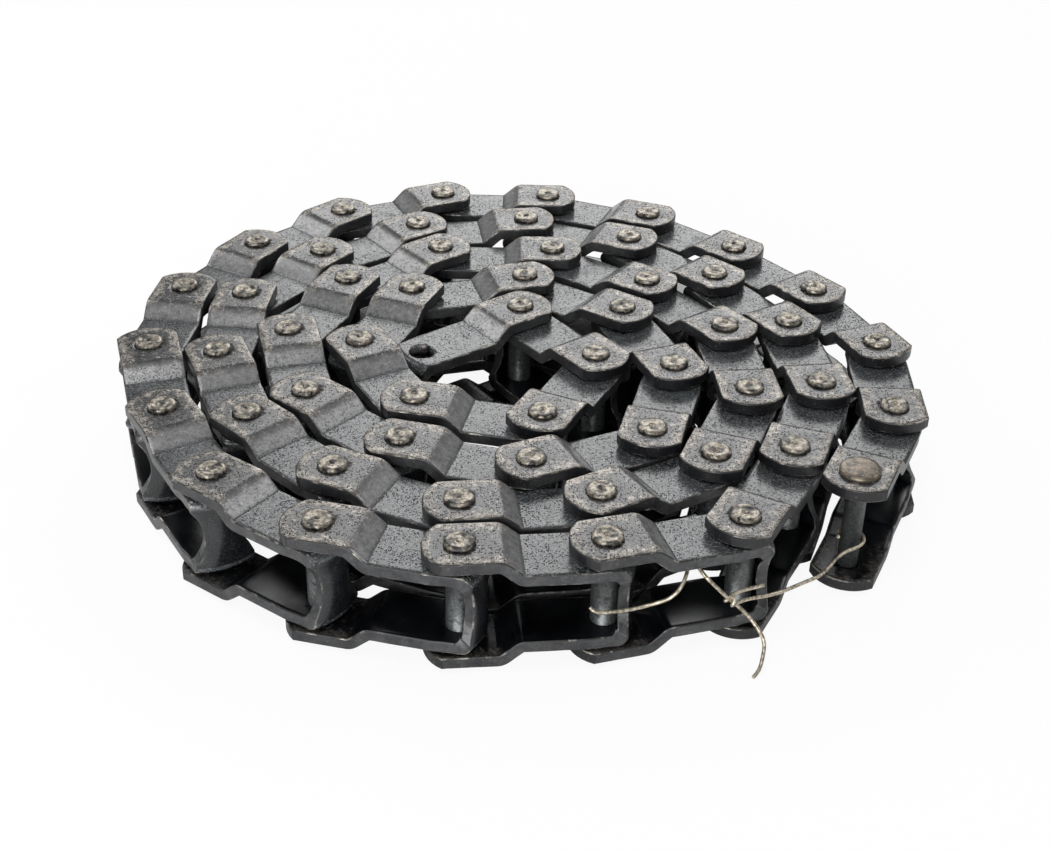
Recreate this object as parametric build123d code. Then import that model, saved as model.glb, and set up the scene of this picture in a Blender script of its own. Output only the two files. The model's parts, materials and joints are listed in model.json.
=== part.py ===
from build123d import *
import os
from math import atan2, cos, radians, sin, tan

# A formed-steel pintle chain, coiled flat on its side. Millimetres, +Z up.
# Each link is one bent strip: its narrow end wraps round the next link's pin as a barrel,
# and its wide end straddles the narrow end of the link before it and carries a riveted pin.
# The hinge axes stand along Z. The origin is under the middle of the coil, on the floor.

# ---- strip and pitch ----
PITCH = 57.15                # pin centre to pin centre
STRIP_WIDTH = 27.5           # width of the steel strip the links are bent from
STRIP_THICKNESS = 5.1
INSIDE_HEIGHT = 27.0         # clear height between the side plates at the narrow end
SIDE_GAP = 1.5               # between a wide end's plate and the narrow end inside it

# ---- narrow end: the strip rolled round the pin ----
BARREL_OUTER_RADIUS = 11.1
BARREL_BEND = 3.0            # bevel outside the corner where a side plate turns into the barrel
WAIST_CHORD = 16.2           # width of the barrel wall at mid height, measured straight across
WAIST_RADIUS = 21.0          # radius of the two hollows that narrow the barrel wall
SHOULDER_REACH = 6.5         # side plate beyond the pin centre, beside the barrel
SHOULDER_RADIUS = 9.0        # rounded corners of the side plate's narrow end

# ---- wide end ----
CORNER_SETBACK = 8.0         # the strip's cut corners, beyond the pin centre
END_REACH = 14.8             # the rounded tip, beyond the pin centre
RAISED_FLAT = 16.0           # the raised plate runs this far inboard of the pin
JOGGLE_LENGTH = 7.5          # along the link, from the raised level to the inner one
JOGGLE_RADIUS = 5.0          # soft bends, at the middle of the strip's thickness

# ---- riveted pins ----
PIN_DIAMETER = 11.1
PIN_CLEARANCE = 0.08         # radial, in the holes of the neighbour's narrow end
BARREL_CLEARANCE = 0.3       # radial, in the rolled barrel between those holes
RIVET_CLEARANCE = 0.02       # radial, in the link that carries the pin
FORGED_HEAD_DIAMETER = 16.0
FORGED_HEAD_HEIGHT = 2.7
PEENED_HEAD_DIAMETER = 12.8
PEENED_TOP_DIAMETER = 11.4
PEENED_HEAD_HEIGHT = 2.0

# ---- connecting pin, loose in the outer end link ----
CONNECTING_PIN_DIAMETER = 8.8
CONNECTING_HEAD_DIAMETER = 17.4
CONNECTING_HEAD_HEIGHT = 2.5
CONNECTING_HEAD_EDGE = 0.6
WASHER_DIAMETER = 17.6
WASHER_THICKNESS = 2.0
WASHER_CLEARANCE = 0.05      # radial, on the connecting pin
CONNECTING_TAIL = 0.5        # pin left showing below its washer

# ---- how the strand lies: its bend at each hinge in degrees, from the outer end inwards ----
FIRST_HEADING = 66
BEND_ANGLES = (
    22, 25, 15, 10, 21, 21, 25, 21, 15, 23, 23, 14, 24, 22, 19, 11, 46,
    8, 27, 25, 13, 24, 29, 27, 20, 30, 26, 24, 21, 31, 24, 38,
    26, 31, 18, 36, 39, 27, 38, 35, 26, 40, 51, 35,
    34, 50, 53, 51, 49, 76, 63, 90,
)

# ---- heights of the two levels of side plate, from the floor ----
WIDE_BOTTOM = FORGED_HEAD_HEIGHT
NARROW_BOTTOM = WIDE_BOTTOM + STRIP_THICKNESS + SIDE_GAP
NARROW_TOP = NARROW_BOTTOM + INSIDE_HEIGHT + 2 * STRIP_THICKNESS
WIDE_TOP = NARROW_TOP + SIDE_GAP + STRIP_THICKNESS
MID_HEIGHT = (NARROW_BOTTOM + NARROW_TOP) / 2


def turned(outline):
    """A solid of revolution from (radius, height) points."""
    return revolve(make_face(Plane.XZ * Polyline(*outline, close=True)), Axis.Z)


def side_plate():
    """The upper half of the strip, seen from the side: raised flat, joggle, inner flat."""
    raised = WIDE_TOP - STRIP_THICKNESS / 2
    inner = NARROW_TOP - STRIP_THICKNESS / 2
    foot = RAISED_FLAT + JOGGLE_LENGTH
    slope = atan2(raised - inner, JOGGLE_LENGTH)
    half = STRIP_THICKNESS / 2
    shift = half * tan(slope / 2)
    far = PITCH + BARREL_OUTER_RADIUS
    upper = FilletPolyline(
        (-END_REACH, raised + half), (RAISED_FLAT + shift, raised + half),
        (foot + shift, inner + half), (far, inner + half),
        radius=[JOGGLE_RADIUS + half, JOGGLE_RADIUS - half])
    lower = FilletPolyline(
        (-END_REACH, raised - half), (RAISED_FLAT - shift, raised - half),
        (foot - shift, inner - half), (far, inner - half),
        radius=[JOGGLE_RADIUS - half, JOGGLE_RADIUS + half])
    ends = [Line(upper @ 0, lower @ 0), Line(upper @ 1, lower @ 1)]
    profile = make_face(Plane.XZ * Curve(children=[upper, lower, *ends]))
    return extrude(profile, STRIP_WIDTH / 2, both=True)


def plan_outline():
    """The strip's outline from above: cut corners and round tip, rounded shoulders."""
    side = STRIP_WIDTH / 2
    end = PITCH + SHOULDER_REACH
    tip = ThreePointArc((-CORNER_SETBACK, side), (-END_REACH, 0), (-CORNER_SETBACK, -side))
    rest = FilletPolyline(
        (-CORNER_SETBACK, -side), (end, -side), (end, side), (-CORNER_SETBACK, side),
        radius=SHOULDER_RADIUS)
    return extrude(make_face(Curve(children=[tip, rest])), WIDE_TOP)


def barrel():
    """The wall that wraps round the pin, waisted at mid height."""
    rim = BARREL_OUTER_RADIUS
    wall = turned([
        (0, NARROW_BOTTOM), (rim - BARREL_BEND, NARROW_BOTTOM), (rim, NARROW_BOTTOM + BARREL_BEND),
        (rim, NARROW_TOP - BARREL_BEND), (rim - BARREL_BEND, NARROW_TOP), (0, NARROW_TOP)])
    wall &= Pos(rim, 0, MID_HEIGHT) * Box(2 * rim, 2 * rim, NARROW_TOP)
    hollow = Rot(0, 90, 0) * Cylinder(WAIST_RADIUS, 4 * rim)
    for side in (-1, 1):
        wall -= Pos(0, side * (WAIST_CHORD / 2 + WAIST_RADIUS), MID_HEIGHT) * hollow
    return Pos(PITCH, 0, 0) * wall


def strip_link():
    """One link without its pin: wide end at the origin, narrow end one pitch along X."""
    top = side_plate()
    bottom = Pos(0, 0, 2 * MID_HEIGHT) * mirror(top, Plane.XY)
    link = ((top + bottom) & plan_outline()) + barrel()
    link -= Cylinder(PIN_DIAMETER / 2 + RIVET_CLEARANCE, 3 * WIDE_TOP)
    holes = Cylinder(PIN_DIAMETER / 2 + PIN_CLEARANCE, 3 * WIDE_TOP)
    bore = Pos(0, 0, MID_HEIGHT) * Cylinder(PIN_DIAMETER / 2 + BARREL_CLEARANCE, INSIDE_HEIGHT)
    return link - Pos(PITCH, 0, 0) * (holes + bore)


def riveted_pin():
    """Forged head below, shank, and a peened head above the upper plate."""
    shank = PIN_DIAMETER / 2
    forged = FORGED_HEAD_DIAMETER / 2
    top = WIDE_TOP + PEENED_HEAD_HEIGHT
    return turned([
        (0, 0), (forged, 0), (forged, WIDE_BOTTOM), (shank, WIDE_BOTTOM),
        (shank, WIDE_TOP), (PEENED_HEAD_DIAMETER / 2, WIDE_TOP), (PEENED_TOP_DIAMETER / 2, top),
        (0, top)])


def connecting_pin():
    """Flat round head on the upper plate, thin shank, tail just through the washer."""
    shank = CONNECTING_PIN_DIAMETER / 2
    head = CONNECTING_HEAD_DIAMETER / 2
    top = WIDE_TOP + CONNECTING_HEAD_HEIGHT
    tail = WIDE_BOTTOM - WASHER_THICKNESS - CONNECTING_TAIL
    return turned([
        (0, tail), (shank, tail), (shank, WIDE_TOP), (head, WIDE_TOP),
        (head, top - CONNECTING_HEAD_EDGE), (head - CONNECTING_HEAD_EDGE, top), (0, top)])


def connecting_pin_washer():
    hole = CONNECTING_PIN_DIAMETER / 2 + WASHER_CLEARANCE
    low = WIDE_BOTTOM - WASHER_THICKNESS
    rim = WASHER_DIAMETER / 2
    return turned([(hole, low), (rim, low), (rim, WIDE_BOTTOM), (hole, WIDE_BOTTOM)])


def strand():
    """Where each link's own pin stands and which way the link points."""
    x = y = 0
    heading = FIRST_HEADING
    places = []
    for bend in (0, *BEND_ANGLES):
        heading += bend
        places.append((x, y, heading))
        x += PITCH * cos(radians(heading))
        y += PITCH * sin(radians(heading))
    return places


def main():
    os.makedirs("parts", exist_ok=True)
    link, pin = strip_link(), riveted_pin()
    pieces = {}
    places = [Location((x, y, 0), (0, 0, heading)) for x, y, heading in strand()]
    for number, place in enumerate(places):
        solids = [link] if number == 0 else [link, pin]
        pieces[f"link_{number:02d}"] = [place * solid for solid in solids]
    pieces["connecting_pin"] = [places[0] * connecting_pin()]
    pieces["connecting_pin_washer"] = [places[0] * connecting_pin_washer()]
    box = Compound([solid for solids in pieces.values() for solid in solids]).bounding_box()
    to_origin = Pos(-box.center().X, -box.center().Y, 0)
    for name, solids in pieces.items():
        export_step(Compound([to_origin * solid for solid in solids]), f"parts/{name}.step")
    print("links", len(places), "size", box.size)


main()
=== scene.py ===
import bmesh
import bpy
import json
from math import atan2, cos, hypot, pi, radians, sin, sqrt
from mathutils import Matrix, Vector, noise


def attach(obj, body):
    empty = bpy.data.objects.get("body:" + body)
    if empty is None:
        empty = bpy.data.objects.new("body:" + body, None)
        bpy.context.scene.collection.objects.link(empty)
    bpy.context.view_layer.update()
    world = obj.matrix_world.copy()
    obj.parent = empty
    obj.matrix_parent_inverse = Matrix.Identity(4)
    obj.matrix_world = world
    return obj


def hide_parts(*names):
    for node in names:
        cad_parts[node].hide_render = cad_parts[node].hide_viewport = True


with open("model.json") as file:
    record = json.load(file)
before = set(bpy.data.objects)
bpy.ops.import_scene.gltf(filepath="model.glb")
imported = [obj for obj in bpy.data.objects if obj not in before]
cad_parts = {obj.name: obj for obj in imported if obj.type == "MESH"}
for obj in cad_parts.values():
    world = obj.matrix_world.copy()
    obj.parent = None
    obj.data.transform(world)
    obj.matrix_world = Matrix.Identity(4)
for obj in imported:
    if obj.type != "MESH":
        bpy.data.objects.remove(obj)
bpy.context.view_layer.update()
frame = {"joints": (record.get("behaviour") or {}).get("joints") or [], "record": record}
MM = 0.001

# ---- the chain, in millimetres ----
PITCH = 57.15
HALF_WIDTH = 13.75
PLATE = 5.1
FLOOR_TO_WIDE = 2.7
FLOOR_TO_NARROW = 9.3
WIDE_TOP = 53.1
NARROW_TOP = 46.5
MID_HEIGHT = 27.9
PIN_RADIUS = 5.55
RIVET_CLEARANCE = 0.02
PIN_CLEARANCE = 0.08
JOGGLE_START = 15.8          # the raised end turns down here
JOGGLE_RUN = 7.6             # and reaches the inner level this much further on
BARREL_RADIUS = 11.1
BARREL_BOW = 3.0             # the barrel's two edges lie this far behind its middle
OUTER_BEND = 4.6             # outside radius where a side plate turns into the barrel
INNER_BEND = 2.6             # and inside: the press leaves the corner a little thick
EDGE_LEAN = radians(14)      # the barrel's cut edges turn with its curve by this much
WAIST = 8.1                  # half width of the barrel at mid height
HOLLOW_RADIUS = 21.0         # of the two hollows that narrow it
BEND_HALF_WIDTH = 12.9       # the strip draws in a little where it bends into the barrel
TIP_RADIUS = 17.3            # of the wide end's rounded tip
TIP = -14.8                  # the tip, from the pin's centre
CORNER_ROUND = 0.5           # the rubbed corners of the strip
HOLE_MOUTH = 0.6             # bevel at the mouth of every pin hole
CONNECTING_RADIUS = 4.4      # the connecting pin's shank
WIRE_RADIUS = 0.78

# ---- which finish a face takes: the first is the outside of the strip, or a pin's shank ----
EDGE, CORNER = 1, 2
CROWN = 1

# ---- camera ----
LENS = 57.34                 # millimetres, on a sensor 36 mm wide
LOOKS_DOWN = radians(32.18)
ROLLS = radians(1.25)
STANDS = (0.00494, -0.67765, 0.43160)

# ---- light ----
ROOM_LIGHT = 0.15            # brightness of the white room on the object
FLOOR_GLOW = 0.92            # share of the floor's white that its shadow doesn't darken
COIL_MIDDLE = (0, 0, 0.03)

# ---- settings of the nodes used most; a Mix node's share and colours are its inputs 0, 6, 7 ----
TIMES = {"operation": "MULTIPLY"}
PLUS = {"operation": "ADD"}
TIMES_PLUS = {"operation": "MULTIPLY_ADD"}
ABOVE = {"operation": "GREATER_THAN"}
COLOURS = {"data_type": "RGBA"}


# ------------------------------------------------------------------ materials

def srgb(value):
    """Linear colour from a hex value."""
    parts = [int(value[i:i + 2], 16) / 255 for i in (1, 3, 5)]
    linear = [c / 12.92 if c <= 0.04045 else ((c + 0.055) / 1.055) ** 2.4 for c in parts]
    return (*linear, 1)


def fill(tree, made, inputs):
    """Sets a node's inputs, by name or in socket order: values, hex colours, nodes or sockets."""
    for place, value in inputs.items() if isinstance(inputs, dict) else enumerate(inputs):
        if isinstance(value, bpy.types.Node):
            value = next(socket for socket in value.outputs if socket.enabled)
        if isinstance(value, bpy.types.NodeSocket):
            tree.links.new(value, made.inputs[place])
        else:
            made.inputs[place].default_value = srgb(value) if isinstance(value, str) else value


def node(tree, kind, settings=None, inputs=()):
    """Adds one node with its settings and inputs."""
    made = tree.nodes.new("ShaderNode" + kind)
    for name, value in (settings or {}).items():
        setattr(made, name, value)
    fill(tree, made, inputs)
    return made


def start_finish(name):
    """A new material, its nodes, and the object coordinates that its patterns lie on."""
    material = bpy.data.materials.new(name)
    material.use_nodes = True
    tree = material.node_tree
    return material, tree, node(tree, "TexCoord").outputs["Object"]


def blotches(coords, size_mm, detail, roughness):
    """Inputs of a noise whose blotches are about size_mm across."""
    return {"Vector": coords, "Scale": 1 / (size_mm * MM), "Detail": detail, "Roughness": roughness}


def wear_and_painted_light_parts(tree):
    """The strip's masks, 0 to 1 each: rounded tip (painted shade on its edges), lifted end (scuffs, and
    painted shade on its edges), ring round the pin (painted shade), slope (painted highlight).
    """
    wear_and_light_attribute = node(tree, "Attribute", {"attribute_name": "wear_and_painted_light"})
    parts = node(tree, "SeparateColor", None, [wear_and_light_attribute]).outputs
    return parts["Red"], parts["Green"], parts["Blue"], wear_and_light_attribute.outputs["Alpha"]


def dipped_black_steel():
    """Black asphalt paint on steel, dipped: a glossy film inside, dust and black grit outside,
    and lifted ends scuffed bare round their rims, with painted shade round the pins and a painted
    highlight on the slopes."""
    material, tree, coords = start_finish("dipped_black_steel")
    _, raised, pin_ring_shade, slope = wear_and_painted_light_parts(tree)
    outside = node(tree, "Attribute", {"attribute_name": "dust"}).outputs["Fac"]
    rim = node(tree, "Attribute", {"attribute_name": "rim"}).outputs["Fac"]
    blotch = node(tree, "TexNoise", None, blotches(coords, 11, 4, 0.6))
    scuff = node(tree, "TexNoise", None, blotches(coords, 3.0, 7, 0.78))
    fine = node(tree, "TexNoise", None, blotches(coords, 0.9, 3, 0.7))

    # the film, and the dust that has dried on it
    patches = node(tree, "MapRange", None, [blotch, 0.36, 0.66])
    film = node(tree, "Mix", COLOURS, {0: patches, 6: "#050609", 7: "#0f1114"})
    dusty = node(tree, "Mix", COLOURS, {0: patches, 6: "#1f2226", 7: "#505457"})
    pale_grains = node(tree, "MapRange", None, [fine, 0.5, 0.66, 0, 0.75])
    dusty = node(tree, "Mix", COLOURS, {0: pale_grains, 6: dusty, 7: "#8d8f8e"})
    ground = node(tree, "Mix", COLOURS, {0: outside, 6: film, 7: dusty})

    # painted highlight: the slopes made pale grey, streaked by the scuff noise, for the bright light
    # they catch
    painted_highlight_streaks = node(tree, "MapRange", None, [scuff, 0.34, 0.6])
    painted_slope_highlight = node(tree, "Mix", COLOURS, {0: painted_highlight_streaks, 6: "#6c6c6c", 7: "#a8a7a8"})
    share = node(tree, "Math", TIMES, [node(tree, "Math", TIMES, [slope, outside]), 0.65])
    ground = node(tree, "Mix", COLOURS, {0: share, 6: ground, 7: painted_slope_highlight})

    # lifted ends: greyed all over, and bare steel in patches that crowd towards the rims
    share = node(tree, "Math", TIMES, [node(tree, "Math", TIMES, [raised, outside]), 0.6])
    ground = node(tree, "Mix", COLOURS, {0: share, 6: ground, 7: "#2e2d2d"})
    tones = node(tree, "MapRange", None, [scuff, 0.36, 0.64])
    bare = node(tree, "Mix", COLOURS, {0: tones, 6: "#4a4541", 7: "#cbc4ba"})
    pits = node(tree, "MapRange", None, [fine, 0.38, 0.54, 0.7, 0])
    bare = node(tree, "Mix", COLOURS, {0: pits, 6: bare, 7: "#191614"})
    crowd = node(tree, "Math", TIMES_PLUS, [rim, 0.24, scuff])
    rubbed = node(tree, "Math", TIMES, [raised, node(tree, "MapRange", None, [crowd, 0.54, 0.68])])
    open_side = node(tree, "Math", TIMES_PLUS, [outside, 0.85, 0.15])
    rubbed = node(tree, "Math", TIMES, [rubbed, open_side])
    ground = node(tree, "Mix", COLOURS, {0: rubbed, 6: ground, 7: bare})

    # painted shade: a dark ring round each pin head, broken up by the scuff noise; then the grit on top
    # of it all
    pin_ring_shade_breakup = node(tree, "MapRange", None, [scuff, 0.35, 0.62, 0.95, 0.35])
    pin_ring_shade_share = node(tree, "Math", TIMES, [pin_ring_shade, pin_ring_shade_breakup])
    ground = node(tree, "Mix", COLOURS, {0: pin_ring_shade_share, 6: ground, 7: "#12100f"})
    open_flat = node(tree, "Math", TIMES_PLUS, [slope, -0.5, outside])
    grit = node(tree, "Math", TIMES, [settled_grit(tree, coords, blotch), open_flat])

    gloss = node(tree, "Math", TIMES_PLUS, [blotch, 0.24, 0.1])
    gloss = node(tree, "Math", TIMES_PLUS, [rubbed, 0.18, gloss])
    gloss = node(tree, "Math", {**TIMES_PLUS, "use_clamp": True}, [grit, 0.5, gloss])
    relief = node(tree, "Math", TIMES, [scuff, 0.35])
    relief = node(tree, "Math", TIMES_PLUS, [grit, 0.6, relief])
    fill(tree, tree.nodes["Principled BSDF"], {
        "Base Color": node(tree, "Mix", COLOURS, {0: grit, 6: ground, 7: "#030303"}),
        "Roughness": gloss,
        "Metallic": node(tree, "Math", TIMES, [rubbed, 0.4]),
        "IOR": 1.65,
        "Normal": node(tree, "Bump", None, {
            "Strength": 0.6, "Distance": 0.3 * MM, "Height": relief})})
    return material


def settled_grit(tree, coords, blotch):
    """1 on loose grains, thicker in some places than in others, on whatever faces up on the coil.
    The real grains are about 0.3 mm, and here they are 0.5 mm in cells of 0.8 mm, so that they show."""
    cells = node(tree, "TexVoronoi", None, {"Vector": coords, "Scale": 1 / (0.8 * MM)})
    chance = node(tree, "SeparateColor", None, [cells.outputs["Color"]]).outputs
    size = node(tree, "Math", TIMES_PLUS, [chance["Green"], 0.22, 0.29])
    grains = node(tree, "Math", ABOVE, [size, cells.outputs["Distance"]])
    bare_share = node(tree, "Math", TIMES_PLUS, [blotch, -2.3, 1.6])
    chosen = node(tree, "Math", ABOVE, [chance["Red"], bare_share])
    height = node(tree, "SeparateXYZ", None, [coords]).outputs["Z"]
    upper = node(tree, "Math", ABOVE, [height, 40 * MM])
    grains = node(tree, "Math", TIMES, [grains, chosen])
    return node(tree, "Math", TIMES, [grains, upper])


def sheared_edge_steel():
    """The strip's cut edge: paint stays thin on the torn grain, so grey steel shows through; painted
    shade darkens it at the rounded tip and round the lifted end.
    """
    material, tree, coords = start_finish("sheared_edge_steel")
    tip, raised, _, _ = wear_and_painted_light_parts(tree)
    blotch = node(tree, "TexNoise", None, blotches(coords, 8, 4, 0.6))
    torn = node(tree, "TexNoise", None, blotches(coords, 1.3, 6, 0.8))
    patches = node(tree, "MapRange", None, [blotch, 0.35, 0.65])
    thin = node(tree, "Mix", COLOURS, {0: patches, 6: "#303134", 7: "#505152"})
    pits = node(tree, "MapRange", None, [torn, 0.36, 0.5, 0.6, 0])
    thin = node(tree, "Mix", COLOURS, {0: pits, 6: thin, 7: "#161617"})
    # painted shade: the cut edges at the rounded tip go nearly black, and those round the lifted end a
    # little darker, where they turn from the light
    thick = node(tree, "Math", {"operation": "MAXIMUM"}, [
        node(tree, "Math", TIMES, [tip, 0.9]), node(tree, "Math", TIMES, [raised, 0.35])])
    thin = node(tree, "Mix", COLOURS, {0: thick, 6: thin, 7: "#101115"})
    nicks = node(tree, "MapRange", None, [torn, 0.6, 0.7])
    fill(tree, tree.nodes["Principled BSDF"], {
        "Base Color": node(tree, "Mix", COLOURS, {0: nicks, 6: thin, 7: "#8d897f"}),
        "Roughness": node(tree, "Math", TIMES_PLUS, [torn, 0.3, 0.2]),
        "Metallic": 0.3,
        "IOR": 1.65,
        "Normal": node(tree, "Bump", None, {
            "Strength": 0.35, "Distance": 0.25 * MM, "Height": torn})})
    return material


def rubbed_corner_steel_and_glint():
    """The strip's sharp corners, where paint has chipped to a broken line of bare steel, kept pale so
    that it is also a painted glint along the edges.
    """
    material, tree, coords = start_finish("rubbed_corner_steel_and_glint")
    gaps = node(tree, "TexNoise", None, blotches(coords, 7, 4, 0.65))
    fine = node(tree, "TexNoise", None, blotches(coords, 1.0, 4, 0.7))
    # bare steel on the corners: real chipping, and made pale as a painted glint
    bare = node(tree, "MapRange", None, [gaps, 0.52, 0.66])
    tones = node(tree, "MapRange", None, [fine, 0.35, 0.65])
    steel = node(tree, "Mix", COLOURS, {0: tones, 6: "#8a867e", 7: "#c4bfb5"})
    fill(tree, tree.nodes["Principled BSDF"], {
        "Base Color": node(tree, "Mix", COLOURS, {0: bare, 6: "#2e2e2e", 7: steel}),
        "Metallic": node(tree, "Math", TIMES, [bare, 0.7]),
        "Roughness": node(tree, "Math", TIMES_PLUS, [fine, 0.3, 0.2])})
    return material


def hammered_steel(name, hollow, dull, bright, oil_share):
    """Hot-forged pin head: hammered bare on its crown, with black oil left in the hollows."""
    material, tree, coords = start_finish(name)
    dents = node(tree, "TexNoise", None, blotches(coords, 4.2, 5, 0.62))
    fine = node(tree, "TexNoise", None, blotches(coords, 1.2, 4, 0.7))
    bare = node(tree, "MapRange", None, [dents, oil_share, oil_share + 0.14])
    tones = node(tree, "MapRange", None, [fine, 0.35, 0.65])
    steel = node(tree, "Mix", COLOURS, {0: tones, 6: dull, 7: bright})
    fill(tree, tree.nodes["Principled BSDF"], {
        "Base Color": node(tree, "Mix", COLOURS, {0: bare, 6: hollow, 7: steel}),
        "Roughness": node(tree, "Math", TIMES_PLUS, [fine, 0.35, 0.18]),
        "Metallic": node(tree, "Math", TIMES, [bare, 0.75]),
        "Normal": node(tree, "Bump", None, {
            "Strength": 0.4, "Distance": 0.4 * MM,
            "Height": node(tree, "Math", PLUS, [dents, fine])})})
    return material


def annealed_tie_wire():
    """Soft annealed tie wire: dull straw-grey steel, a little brighter where it was drawn."""
    material, tree, coords = start_finish("annealed_tie_wire")
    drawn = node(tree, "TexNoise", None, blotches(coords, 1.5, 4, 0.6))
    tones = node(tree, "MapRange", None, [drawn, 0.35, 0.65])
    fill(tree, tree.nodes["Principled BSDF"], {
        "Base Color": node(tree, "Mix", COLOURS, {0: tones, 6: "#7f7463", 7: "#e6dcc8"}),
        "Roughness": node(tree, "Math", TIMES_PLUS, [drawn, 0.3, 0.2]),
        "Metallic": 0.7})
    return material


def white_sweep():
    """Matt white paper under the coil, glowing almost white to the eye and keeping a soft shadow."""
    material, tree, _ = start_finish("white_sweep")
    paper = tree.nodes["Principled BSDF"]
    fill(tree, paper, {"Base Color": "#ffffff", "Roughness": 1, "Specular IOR Level": 0})
    seen = node(tree, "LightPath").outputs["Is Camera Ray"]
    share = node(tree, "Math", TIMES, [seen, FLOOR_GLOW])
    glow = node(tree, "Emission", None, {"Color": "#ffffff", "Strength": 1.0})
    fill(tree, tree.nodes["Material Output"], {
        "Surface": node(tree, "MixShader", None, [share, paper, glow])})
    return material


# ------------------------------------------------------------------ meshes

def to_object(name, bm, materials, smooth=True):
    """Turns a bmesh into a scene object, in metres, at the origin."""
    mesh = bpy.data.meshes.new(name)
    for face in bm.faces:
        face.smooth = smooth
    bm.to_mesh(mesh)
    bm.free()
    for material in materials:
        mesh.materials.append(material)
    made = bpy.data.objects.new(name, mesh)
    bpy.context.scene.collection.objects.link(made)
    return made


def to_metres(bm):
    bmesh.ops.scale(bm, vec=(MM, MM, MM), verts=bm.verts)


def smoothstep(low, high, value):
    t = min(max((value - low) / (high - low), 0), 1)
    return t * t * (3 - 2 * t)


def soft_ramp(t, soft):
    """Level before t = 0 and rising one in one after it, with a rounded bend between."""
    return (t + soft) ** 2 / (4 * soft) if abs(t) < soft else max(t, 0)


def joggle_height(x):
    """Middle of the upper plate's thickness: raised end, straight slope, inner level."""
    run = soft_ramp(x - JOGGLE_START, 1.8) - soft_ramp(x - JOGGLE_START - JOGGLE_RUN, 1.3)
    return WIDE_TOP - PLATE / 2 - run * (WIDE_TOP - NARROW_TOP) / JOGGLE_RUN


def half_width(z):
    """The strip's half width where it wraps round the pin: waisted between the two bends."""
    rise = min(abs(z - MID_HEIGHT), HOLLOW_RADIUS)
    return min(BEND_HALF_WIDTH, WAIST + HOLLOW_RADIUS - sqrt(HOLLOW_RADIUS ** 2 - rise ** 2))


def barrel_reach(v):
    """How far along the link the barrel's outer wall lies, v across the strip from -1 to 1."""
    return PITCH + BARREL_RADIUS - BARREL_BOW * v * v


NOSE = barrel_reach(0) - OUTER_BEND      # where the side plate starts to bend


def plate_skins(x, v):
    """Outer and inner face of the upper side plate at x along its middle line and v across it."""
    tip = TIP + TIP_RADIUS - sqrt(TIP_RADIUS ** 2 - (HALF_WIDTH * v) ** 2)
    shift = (tip - TIP) * (1 - smoothstep(TIP, -3, x))
    shift -= (barrel_reach(0) - barrel_reach(v)) * smoothstep(44, NOSE, x)
    slope = (joggle_height(x + shift + 0.05) - joggle_height(x + shift - 0.05)) / 0.1
    across = Vector((-slope, 0, 1)).normalized() * PLATE / 2
    reach = HALF_WIDTH + (BEND_HALF_WIDTH - HALF_WIDTH) * smoothstep(50, NOSE, x)
    middle = Vector((x + shift, reach * v, joggle_height(x + shift)))
    inner = middle - across
    inner.x -= (PLATE + INNER_BEND - OUTER_BEND) * smoothstep(46, NOSE, x)
    return middle + across, inner


def bend_skins(turn, v):
    """The quarter bend from side plate to barrel: turn goes from 0 to 1."""
    arm = Vector((sin(turn * pi / 2), 0, cos(turn * pi / 2)))
    outer = Vector((barrel_reach(v) - OUTER_BEND, 0, NARROW_TOP - OUTER_BEND)) + OUTER_BEND * arm
    inner = Vector((barrel_reach(v) - PLATE - INNER_BEND, 0, NARROW_TOP - PLATE - INNER_BEND))
    inner += INNER_BEND * arm
    outer.y = v * half_width(outer.z)
    inner.y = v * (half_width(outer.z) - PLATE * sin(EDGE_LEAN) * smoothstep(0.2, 1, turn))
    return outer, inner


def barrel_skins(down, v):
    """The barrel: down is 0 under the bend and 1 at mid height, where it hugs the pin."""
    high, low = NARROW_TOP - OUTER_BEND, NARROW_TOP - PLATE - INNER_BEND
    outer = Vector((barrel_reach(v), 0, high + (MID_HEIGHT - high) * down))
    outer.y = v * half_width(outer.z)
    thick = PLATE * (1 - 0.14 * v * v)
    inner = outer - thick * Vector((cos(EDGE_LEAN * v), sin(EDGE_LEAN * v), 0))
    inner.z = low + (MID_HEIGHT - low) * down
    return outer, inner


def spaced(low, high, count):
    return [low + (high - low) * i / (count - 1) for i in range(count)]


def strip_rows():
    """Rows of the strip's upper half, from the tip to mid height of the barrel."""
    raised = [*spaced(TIP, 12.6, 11), *spaced(13.8, 17.8, 6)]
    slope = [*spaced(19.2, 21.2, 2), *spaced(22.2, 24.8, 5)]
    inner = spaced(27, NOSE - 3, 11)
    rows = [(plate_skins, x) for x in raised + slope + inner]
    rows += [(bend_skins, turn) for turn in spaced(0, 0.86, 7)]
    rows += [(barrel_skins, down) for down in spaced(0, 1, 8)]
    return rows


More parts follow.
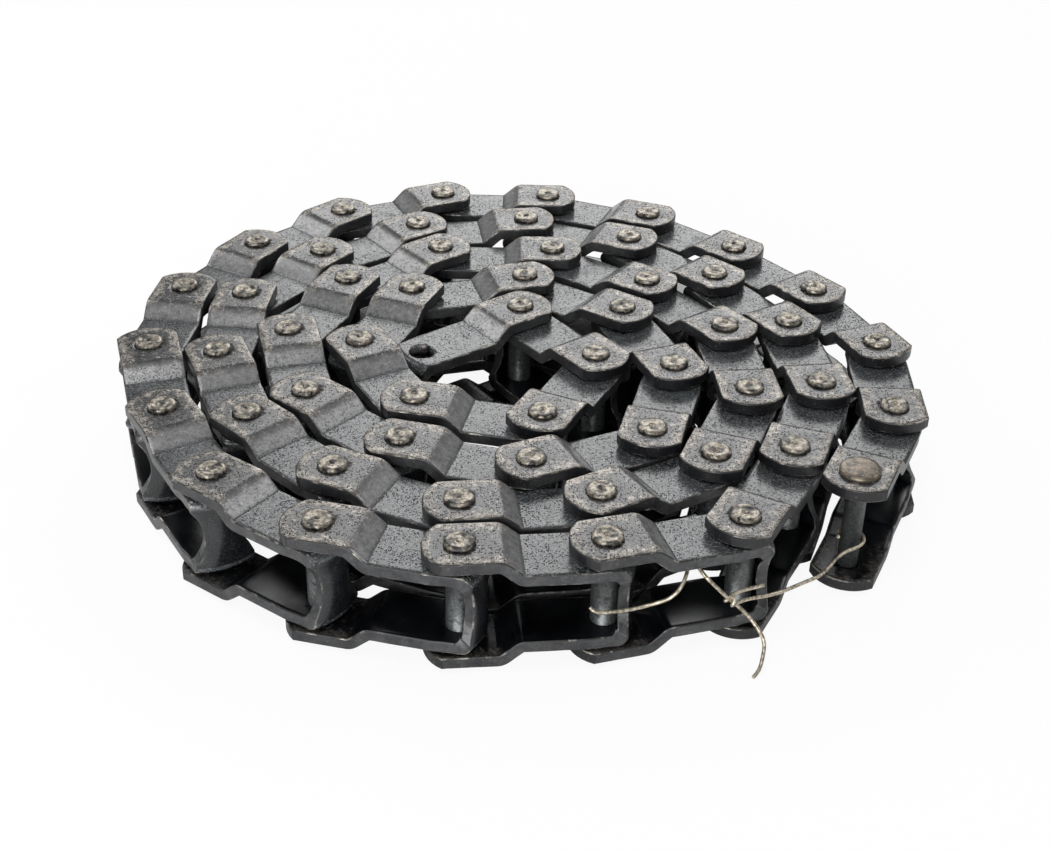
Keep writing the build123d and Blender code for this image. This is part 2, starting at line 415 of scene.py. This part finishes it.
def lay_strip(bm, rows):
    """A grid laid along the outer face of the strip's upper half, with its scuff masks and its masks
    for painted shade and highlight.
    """
    wear_and_painted_light = bm.verts.layers.float_color.new("wear_and_painted_light")
    rim = bm.verts.layers.float.new("rim")
    dust = bm.verts.layers.float.new("dust")
    inner = bm.verts.layers.float_vector.new("inner_face")
    bmesh.ops.create_grid(bm, x_segments=len(rows) - 1, y_segments=14, size=1)
    for vert in bm.verts:
        row = round((vert.co.x + 1) / 2 * (len(rows) - 1))
        v = vert.co.y
        skins, place = rows[row]
        vert.co, vert[inner] = skins(place, v)
        x = vert.co.x
        raised = 1 - smoothstep(15, 21, x)
        # slope: mask of the painted highlight
        slope = smoothstep(15, 17.5, x) - smoothstep(22.5, 25, x)
        # ring round the riveted pin: mask of the painted shade
        pin_ring_shade = 1 - smoothstep(6.5, 11.5, hypot(x, vert.co.y))
        # the tip row: mask of the painted shade on the tip's cut edges
        vert[wear_and_painted_light] = (1 if row == 0 else 0, raised, pin_ring_shade, slope)
        vert[rim] = max(smoothstep(0.45, 1, abs(v)), 1 - smoothstep(TIP, TIP + 7, x))
        vert[dust] = 0.15 if skins is barrel_skins else 1
    return inner, dust


def verts_in(items):
    """The vertices among what an operator gives back."""
    return [item for item in items if isinstance(item, bmesh.types.BMVert)]


def strip_master(finishes):
    """One whole link: the laid face doubled for the lower half, given its thickness, rounded."""
    bm = bmesh.new()
    inner, dust = lay_strip(bm, strip_rows())
    lower = bmesh.ops.duplicate(bm, geom=bm.verts[:] + bm.edges[:] + bm.faces[:])["geom"]
    for vert in verts_in(lower):
        vert.co.z = 2 * MID_HEIGHT - vert.co.z
        vert[inner] = Vector((vert[inner].x, vert[inner].y, 2 * MID_HEIGHT - vert[inner].z))
    bmesh.ops.remove_doubles(bm, verts=bm.verts, dist=0.01)
    bmesh.ops.recalc_face_normals(bm, faces=bm.faces)
    skin = set(bm.faces)
    made = bmesh.ops.extrude_face_region(bm, geom=bm.faces[:], use_keep_orig=True)["geom"]
    for vert in verts_in(made):
        vert.co = vert[inner]
        vert[dust] = 0
    skin.update(item for item in made if isinstance(item, bmesh.types.BMFace))
    for face in bm.faces:
        face.material_index = 0 if face in skin else EDGE
    sharp = [e for e in bm.edges if len({f.material_index for f in e.link_faces}) == 2]
    bmesh.ops.recalc_face_normals(bm, faces=bm.faces)
    rounded = bmesh.ops.bevel(
        bm, geom=sharp, affect="EDGES", offset=CORNER_ROUND, segments=2, profile=0.5,
        clamp_overlap=False, material=-1)["faces"]
    for face in rounded:
        face.material_index = CORNER
    to_metres(bm)
    return punched(to_object("strip_master", bm, finishes))


def punched(master):
    """The strip's mesh with both pin holes cut through it; its torn edges stay flat."""
    for x, radius in ((0, PIN_RADIUS + RIVET_CLEARANCE), (PITCH, PIN_RADIUS + PIN_CLEARANCE)):
        hole = master.modifiers.new("pin_hole", "BOOLEAN")
        hole.operation = "DIFFERENCE"
        hole.object = hole_punch(x, radius)
    bpy.context.view_layer.update()
    shown = master.evaluated_get(bpy.context.evaluated_depsgraph_get())
    finished = bpy.data.meshes.new_from_object(shown)
    for modifier in master.modifiers:
        bpy.data.objects.remove(modifier.object)
    bpy.data.objects.remove(master)
    for polygon in finished.polygons:
        polygon.use_smooth = polygon.material_index != EDGE
    return finished


def hole_punch(x, radius):
    """A round punch with a bevelled mouth at the plates' outer faces."""
    wide, low, high, end = radius + HOLE_MOUTH, FLOOR_TO_WIDE, WIDE_TOP, WIDE_TOP + 3
    if x > 0:
        low, high, end = FLOOR_TO_NARROW, NARROW_TOP, WIDE_TOP
    bm = turned([
        (0, -1), (wide, -1), (wide, low), (radius, low + HOLE_MOUTH),
        (radius, high - HOLE_MOUTH), (wide, high), (wide, end), (0, end)], 40)
    bmesh.ops.translate(bm, vec=(x, 0, 0), verts=bm.verts)
    to_metres(bm)
    punch = to_object("hole_punch", bm, [])
    punch.hide_render = True
    return punch


def turned(outline, steps=28):
    """A closed solid of revolution from (radius, height) points, as a bmesh in millimetres."""
    bm = bmesh.new()
    line = [bm.verts.new((r, 0, z)) for r, z in outline]
    edges = [bm.edges.new(pair) for pair in zip(line, line[1:])]
    bmesh.ops.spin(
        bm, geom=line + edges, cent=(0, 0, 0), axis=(0, 0, 1), angle=2 * pi, steps=steps,
        use_merge=True)
    bmesh.ops.remove_doubles(bm, verts=bm.verts, dist=0.001)
    bmesh.ops.recalc_face_normals(bm, faces=bm.faces)
    return bm


def finish_crown(bm):
    """Gives everything above the upper plate the finish of a pin's head."""
    for face in bm.faces:
        face.material_index = CROWN if face.calc_center_median().z > WIDE_TOP else 0


def riveted_pin(seed):
    """Pin with a low forged head and a hammered upper head with a centre dimple."""
    top = WIDE_TOP
    bm = turned([
        (0, 0.15), (5.5, 0), (7.3, 0.35), (7.95, 1.2), (7.9, 2.2), (7.4, 2.68),
        (PIN_RADIUS, 2.7), (PIN_RADIUS, top), (5.9, top), (6.25, top + 0.25), (6.4, top + 0.8),
        (6.3, top + 1.35), (5.9, top + 1.75), (5.0, top + 1.9), (3.9, top + 1.78),
        (2.9, top + 1.6), (2.2, top + 1.75), (1.7, top + 1.8), (1.2, top + 1.45),
        (0.7, top + 0.9), (0, top + 0.8)])
    dent_size, dent_depth, rim_from, highest = 3.2, 0.3, 3.5, top + 1.98
    for vert in bm.verts:
        if vert.co.z > top + 0.3:
            spot = Vector((vert.co.x / dent_size, vert.co.y / dent_size, seed * 7.3))
            reach = hypot(vert.co.x, vert.co.y)
            vert.co.z += dent_depth * noise.noise(spot) - 0.06
            if reach > rim_from:
                push = 1 + 0.05 * noise.noise(spot * 0.8 + Vector((5, 1, 2))) - 0.03
                vert.co.x *= push
                vert.co.y *= push
            vert.co.z = min(vert.co.z, highest)
    finish_crown(bm)
    return bm


# ------------------------------------------------------------------ the strand

def hinge_points():
    """Plan positions of every pin centre, from the outer end to the free inner hole."""
    places = {}
    for joint in frame["joints"]:
        number = 0 if joint["name"] == "connecting_pin_spin" else int(joint["name"][-2:])
        places[number] = Vector(joint["pos_m"][:2])
    free = next(m for m in frame["record"]["mounts"] if m["name"] == "inner_end_bore")
    points = [places[number] for number in sorted(places)]
    return points + [Vector(free["pos_m"][:2])]


def along_link(points, number):
    """Turns the link's own frame to where that link lies."""
    start, end = points[number], points[number + 1]
    heading = atan2(end.y - start.y, end.x - start.x)
    return Matrix.Translation((start.x, start.y, 0)) @ Matrix.Rotation(heading, 4, "Z")


def uneven(mesh, amount_mm, size_mm):
    """Rolled and bent strip is never flat: a faint waviness along each normal."""
    normals = [vert.normal.copy() for vert in mesh.vertices]
    for vert, normal in zip(mesh.vertices, normals):
        wave = noise.noise(vert.co / (size_mm * MM))
        vert.co += normal * wave * amount_mm * MM


def make_links(points, finishes, pin_finishes):
    """All the strips, and in every link but the first the pin that is riveted into it."""
    master = strip_master(finishes)
    for number in range(len(points) - 1):
        body = f"link_{number:02d}"
        place = along_link(points, number)
        mesh = master.copy()
        mesh.transform(place)
        uneven(mesh, 0.1, 14)
        strip = bpy.data.objects.new(f"{body}_strip", mesh)
        bpy.context.scene.collection.objects.link(strip)
        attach(strip, body)
        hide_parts(body)
        if number == 0:
            continue
        bm = riveted_pin(number)
        to_metres(bm)
        turn = Matrix.Rotation(number * 2.4, 4, "Z")
        bmesh.ops.transform(bm, matrix=place @ turn, verts=bm.verts)
        pin = to_object(f"{body}_riveted_pin", bm, pin_finishes)
        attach(pin, body)


def on_first_hinge(name, bm, points, finishes):
    """Puts a turned part of the connecting pin where it stands in the outer end link."""
    to_metres(bm)
    bmesh.ops.translate(bm, vec=(points[0].x, points[0].y, 0), verts=bm.verts)
    part = to_object(f"{name}_turned", bm, finishes)
    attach(part, "connecting_pin")
    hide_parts(name)


def make_connecting_pin(points, finishes):
    """Flat button head on the upper plate, thin shank, washer under the lower plate."""
    shank, top = CONNECTING_RADIUS, WIDE_TOP
    bm = turned([
        (0, 0.25), (3.9, 0.25), (shank, 0.7), (shank, top), (8.5, top), (8.68, top + 0.5),
        (8.6, top + 1.5), (8.1, top + 2.15), (6.8, top + 2.4), (0, top + 2.45)], 40)
    finish_crown(bm)
    on_first_hinge("connecting_pin", bm, points, finishes)
    bore = shank + 0.05
    bm = turned([
        (bore, 0.9), (4.6, 0.7), (8.3, 0.7), (8.78, 1.1), (8.78, 2.3), (8.4, 2.69), (4.6, 2.69),
        (bore, 2.5), (bore, 0.9)], 40)
    on_first_hinge("connecting_pin_washer", bm, points, finishes)


# ------------------------------------------------------------------ tie wires

def wound(start, end, radius, turns):
    """Bends of a wire wound round another: a helix about the line from start to end."""
    start, end = Vector(start), Vector(end)
    way = (end - start).normalized()
    side = way.orthogonal().normalized()
    bends = []
    for i in range(6 * turns + 1):
        arm = Matrix.Rotation(i * pi / 3, 3, way) @ side * radius
        bends.append(tuple(start.lerp(end, i / (6 * turns)) + arm))
    return bends


def tie_wire(name, bends, at, steel, body):
    """One length of wire through bends given in millimetres from a hinge."""
    curve = bpy.data.curves.new(name, "CURVE")
    curve.dimensions = "3D"
    curve.bevel_depth = WIRE_RADIUS * MM
    curve.bevel_resolution = 3
    curve.resolution_u = 6
    curve.use_fill_caps = True
    line = curve.splines.new("NURBS")
    line.points.add(len(bends) - 1)
    for point, (x, y, z) in zip(line.points, bends):
        point.co = (at.x + x * MM, at.y + y * MM, z * MM, 1)
    line.order_u = 3
    line.use_endpoint_u = True
    drawn = bpy.data.objects.new(name, curve)
    bpy.context.scene.collection.objects.link(drawn)
    bpy.context.view_layer.update()
    shown = drawn.evaluated_get(bpy.context.evaluated_depsgraph_get())
    mesh = bpy.data.meshes.new_from_object(shown)
    bpy.data.objects.remove(drawn)
    for polygon in mesh.polygons:
        polygon.use_smooth = True
    mesh.materials.clear()
    mesh.materials.append(steel)
    wire = bpy.data.objects.new(name, mesh)
    bpy.context.scene.collection.objects.link(wire)
    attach(wire, body)


def make_tie_wires(points):
    """What is left of the tie that held the coil for dipping: three bits of bent wire."""
    steel = annealed_tie_wire()
    hanging = [
        (34.5, 5.4, 39.5), (36.9, -0.5, 38), (42.5, -2.6, 33), (48, -3.1, 27.5),
        (55.5, -2.1, 20), (60.7, -5.7, 15), (63.8, -7.6, 9.5), (62.8, -12.1, 5),
        (61, -17.1, 2), (58.6, -19.2, 1.1)]
    hooked = [
        (32.5, 3.4, 39.8), (31.3, -2.6, 37.5), (28.5, -6.1, 33), (24.5, -7.4, 29.5),
        (17.6, -7.2, 26.5), (7.7, -9.4, 25), (0.5, -10.6, 25), (-4.4, -10.9, 25),
        (-6, -10.1, 27)]
    looped = [
        (-5.6, -2, 21.5), (-5.2, 3, 21), (0, 6, 20.8), (5.2, 3, 20.4), (5.6, -3, 20),
        (1.7, -7, 19.8), (-3, -9.5, 19.8), (-7.1, -13.4, 19.8), (-12.5, -21.8, 20),
        (-16.5, -27.6, 20.2), (-25.9, -35.7, 22), (-33.7, -43.2, 24), (-41.6, -48, 25),
        (-49.7, -50.3, 25.2)]
    looped += wound((-54.6, -52.6, 25.2), (-57.0, -52.8, 27.6), 1.7, 1)
    looped += [(-54, -50.8, 28.8), (-47.4, -48.6, 29.4), (-42.4, -47.2, 30)]
    tie_wire("tie_wire_hanging", hanging, points[16], steel, "link_16")
    tie_wire("tie_wire_hooked", hooked, points[16], steel, "link_16")
    tie_wire("tie_wire_looped", looped, points[0], steel, "link_00")


# ------------------------------------------------------------------ stage

def make_camera():
    """Looks 32 degrees down across the coil, from the side of its loose outer end."""
    camera = bpy.data.objects.new("camera", bpy.data.cameras.new("camera"))
    camera.data.lens = LENS
    camera.data.sensor_width = 36
    camera.data.clip_start = 0.01
    camera.data.clip_end = 50
    down, roll = LOOKS_DOWN, ROLLS
    right = Vector((cos(roll), sin(roll) * sin(down), sin(roll) * cos(down)))
    up = Vector((-sin(roll), cos(roll) * sin(down), cos(roll) * cos(down)))
    turn = Matrix((right, up, right.cross(up))).transposed().to_4x4()
    camera.matrix_world = Matrix.Translation(STANDS) @ turn
    bpy.context.scene.collection.objects.link(camera)
    bpy.context.scene.camera = camera


def make_stage():
    """White sweep in an even white room with five soft boxes: high ones for the plates' tops,
    one far behind for their gloss, and one low in front for the outer edges."""
    bm = bmesh.new()
    bmesh.ops.create_grid(bm, x_segments=1, y_segments=1, size=6)
    floor = to_object("floor", bm, [white_sweep()], False)
    floor.location.z = -0.2 * MM
    make_world()
    soft_box("high_front", 0.5, 4.0, (-0.18, -0.5, 1.12))
    soft_box("high_left", 0.5, 3.4, (-0.85, 0.4, 0.72))
    soft_box("high_right", 0.6, 3.0, (0.95, 0.15, 0.86))
    soft_box("far_side", 1.1, 11.5, (0.1, 1.5, 0.95))
    soft_box("low_front", 0.8, 12.0, (-0.25, -1.2, 0.24))
    bpy.context.scene.view_settings.view_transform = "Standard"


def make_world():
    """White to the eye, and a dim even room to the object."""
    world = bpy.data.worlds.new("white_room")
    bpy.context.scene.world = world
    world.use_nodes = True
    tree = world.node_tree
    path = node(tree, "LightPath").outputs
    plain = node(tree, "Math", {"operation": "MAXIMUM"}, [
        path["Is Camera Ray"], path["Is Transmission Ray"]])
    strength = node(tree, "Math", TIMES_PLUS, [plain, 1 - ROOM_LIGHT, ROOM_LIGHT])
    fill(tree, tree.nodes["Background"], {"Color": "#ffffff", "Strength": strength})


def soft_box(name, size, watts, place):
    """Square lamp aimed at the middle of the coil."""
    lamp = bpy.data.objects.new(name, bpy.data.lights.new(name, "AREA"))
    lamp.data.size = size
    lamp.data.energy = watts
    aim = (Vector(COIL_MIDDLE) - Vector(place)).to_track_quat("-Z", "Y").to_matrix().to_4x4()
    lamp.matrix_world = Matrix.Translation(place) @ aim
    bpy.context.scene.collection.objects.link(lamp)


def main():
    make_camera()
    make_stage()
    paint, edge, corner = dipped_black_steel(), sheared_edge_steel(), rubbed_corner_steel_and_glint()
    crown = hammered_steel("hammered_pin_steel", "#171513", "#615b50", "#c6beb0", 0.4)
    button = hammered_steel("worn_button_steel", "#3c3731", "#6a6257", "#958a7c", 0.36)
    shank = hammered_steel("oiled_shank_steel", "#1b1c1e", "#505354", "#7c7f7f", 0.34)
    points = hinge_points()
    make_links(points, [paint, edge, corner], [shank, crown])
    make_connecting_pin(points, [shank, button])
    make_tie_wires(points)


main()
